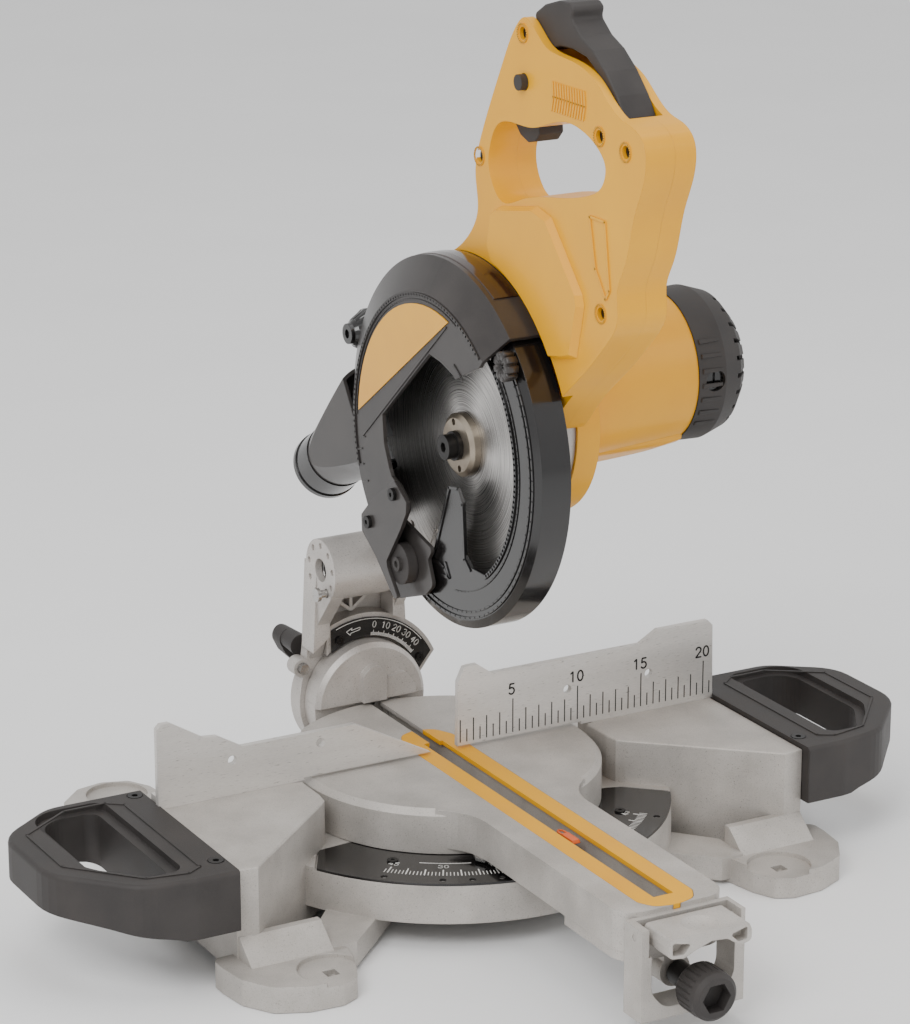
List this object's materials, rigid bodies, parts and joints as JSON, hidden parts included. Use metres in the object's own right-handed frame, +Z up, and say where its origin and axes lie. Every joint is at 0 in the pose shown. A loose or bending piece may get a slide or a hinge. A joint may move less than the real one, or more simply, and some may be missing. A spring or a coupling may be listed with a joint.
{
  "type": "sliding miter saw",
  "caption": "Bench saw with a swivelling table and long kerf arm, split fence, carrying handles, and a tilting, sliding, sprung head that carries a guarded circular blade.",
  "frame": {"origin": "centre of the four bench holes, at bench level", "axes": "+X to the operator's right along the fence, +Y to the rear, +Z up"},
  "size_m": [0.626, 0.5198, 0.587],
  "materials": {
    "cast_aluminium": "satin",
    "machined_aluminium": "satin",
    "yellow_plastic": "satin",
    "dark_plastic": "matte",
    "gloss_black_plastic": "gloss",
    "dark_painted_metal": "satin",
    "black_screw_steel": "satin",
    "steel": "brushed",
    "yellow_badge": "satin",
    "copper_core": "satin",
    "belt_rubber": "matte"
  },
  "bodies": {
    "base": {"base_casting": "cast_aluminium", "mitre_scale_plate": "gloss_black_plastic", "scale_screws": "black_screw_steel", "fence_left": "machined_aluminium", "fence_right": "machined_aluminium", "fence_bolts": "black_screw_steel", "handle_left": "dark_plastic", "handle_right": "dark_plastic", "handle_screws": "black_screw_steel"},
    "turntable": {"turntable": "cast_aluminium", "kerf_insert": "yellow_plastic", "pivot_bolt": "steel", "rail_bushes": "copper_core", "mitre_pointer": "steel"},
    "mitre_lock": {"mitre_lock_rod": "black_screw_steel", "mitre_lock_knob": "dark_plastic"},
    "detent_latch": {"detent_latch": "cast_aluminium"},
    "carriage": {"slide_rails": "steel", "trunnion": "cast_aluminium"},
    "bevel_arm": {"bevel_arm": "cast_aluminium", "bevel_scale_plate": "gloss_black_plastic", "bevel_scale_screws": "black_screw_steel", "bevel_stop_screw": "steel", "pivot_shaft": "steel", "head_spring": "steel"},
    "bevel_clamp": {"bevel_clamp_handle": "dark_plastic"},
    "lock_down_pin": {"lock_down_pin": "steel"},
    "head": {"head_casting": "cast_aluminium", "upper_guard": "dark_painted_metal", "link_plate": "dark_painted_metal", "link_screws": "black_screw_steel", "guard_roller": "dark_plastic", "guard_badge": "yellow_badge", "dust_port": "gloss_black_plastic", "dust_knob": "gloss_black_plastic", "housing_left": "yellow_plastic", "housing_right": "yellow_plastic", "housing_screws": "black_screw_steel", "motor_housing": "yellow_plastic", "motor_end_cap": "dark_plastic", "stator": "steel", "brush_caps": "gloss_black_plastic", "ball_bearings": "steel", "switch_module": "gloss_black_plastic", "cable_gland": "dark_plastic", "drive_belt": "belt_rubber"},
    "spindle": {"spindle": "steel", "spindle_pulley": "steel", "inner_flange": "steel", "outer_flange": "steel", "blade": "steel", "blade_bolt": "black_screw_steel"},
    "armature": {"armature_shaft": "steel", "armature_core": "copper_core", "motor_fan": "dark_plastic", "motor_pulley": "steel"},
    "lower_guard": {"lower_guard": "gloss_black_plastic"},
    "trigger": {"trigger": "dark_plastic"},
    "lock_off_button": {"lock_off_button": "dark_plastic"},
    "release_lever": {"release_lever": "dark_plastic"}
  },
  "joints": [
    {"name": "mitre_swivel", "type": "hinge", "parent": "base", "child": "turntable", "pos_m": [0, -0.01, 0.075], "axis": [0, 0, 1], "range_deg": [-50, 50]},
    {"name": "mitre_lock_turn", "type": "hinge", "parent": "turntable", "child": "mitre_lock", "pos_m": [0, -0.31, 0.032], "axis": [0, 1, 0], "range_deg": [0, 540]},
    {"name": "detent_latch_lift", "type": "hinge", "parent": "turntable", "child": "detent_latch", "pos_m": [0, -0.301, 0.065], "axis": [-1, 0, 0], "range_deg": [0, 10], "stiffness_Nm_per_rad": 0.4, "springref_deg": -22.92},
    {"name": "head_slide", "type": "slide", "parent": "turntable", "child": "carriage", "axis": [0, 1, 0], "range_m": [0, 0.14]},
    {"name": "bevel_tilt", "type": "hinge", "parent": "carriage", "child": "bevel_arm", "pos_m": [0, 0.12, 0.075], "axis": [0, -1, 0], "range_deg": [0, 48]},
    {"name": "bevel_clamp_turn", "type": "hinge", "parent": "carriage", "child": "bevel_clamp", "pos_m": [0, 0.15, 0.075], "axis": [0, 1, 0], "range_deg": [0, 60]},
    {"name": "lock_pin_push", "type": "slide", "parent": "bevel_arm", "child": "lock_down_pin", "axis": [1, 0, 0], "range_m": [0, 0.004]},
    {"name": "head_chop", "type": "hinge", "parent": "bevel_arm", "child": "head", "pos_m": [0.014, 0.096, 0.176], "axis": [1, 0, 0], "range_deg": [0, 42], "stiffness_Nm_per_rad": 8, "springref_deg": -77.35},
    {"name": "lower_guard_turn", "type": "hinge", "parent": "head", "child": "lower_guard", "pos_m": [0.006, -0.036, 0.293], "axis": [1, 0, 0], "range_deg": [-127, 0]},
    {"name": "blade_spin", "type": "hinge", "parent": "head", "child": "spindle", "pos_m": [0, -0.036, 0.293], "axis": [1, 0, 0], "continuous": true},
    {"name": "armature_spin", "type": "hinge", "parent": "head", "child": "armature", "pos_m": [0.06, -0.04, 0.327], "axis": [1, 0, 0], "continuous": true},
    {"name": "trigger_pull", "type": "slide", "parent": "head", "child": "trigger", "axis": [0, 0, 1], "range_m": [0, 0.005], "stiffness_N_per_m": 600, "springref_m": -0.004},
    {"name": "lock_off_press", "type": "slide", "parent": "head", "child": "lock_off_button", "axis": [1, 0, 0], "range_m": [0, 0.004], "stiffness_N_per_m": 500, "springref_m": -0.003},
    {"name": "release_lever_squeeze", "type": "hinge", "parent": "head", "child": "release_lever", "pos_m": [0.022, -0.197, 0.527], "axis": [-1, 0, 0], "range_deg": [0, 3], "stiffness_Nm_per_rad": 6, "springref_deg": -8.59}
  ],
  "couplings": [
    {"joint": "lower_guard_turn", "follows": "head_chop", "ratio": -3},
    {"joint": "armature_spin", "follows": "blade_spin", "ratio": 1.5}
  ]
}
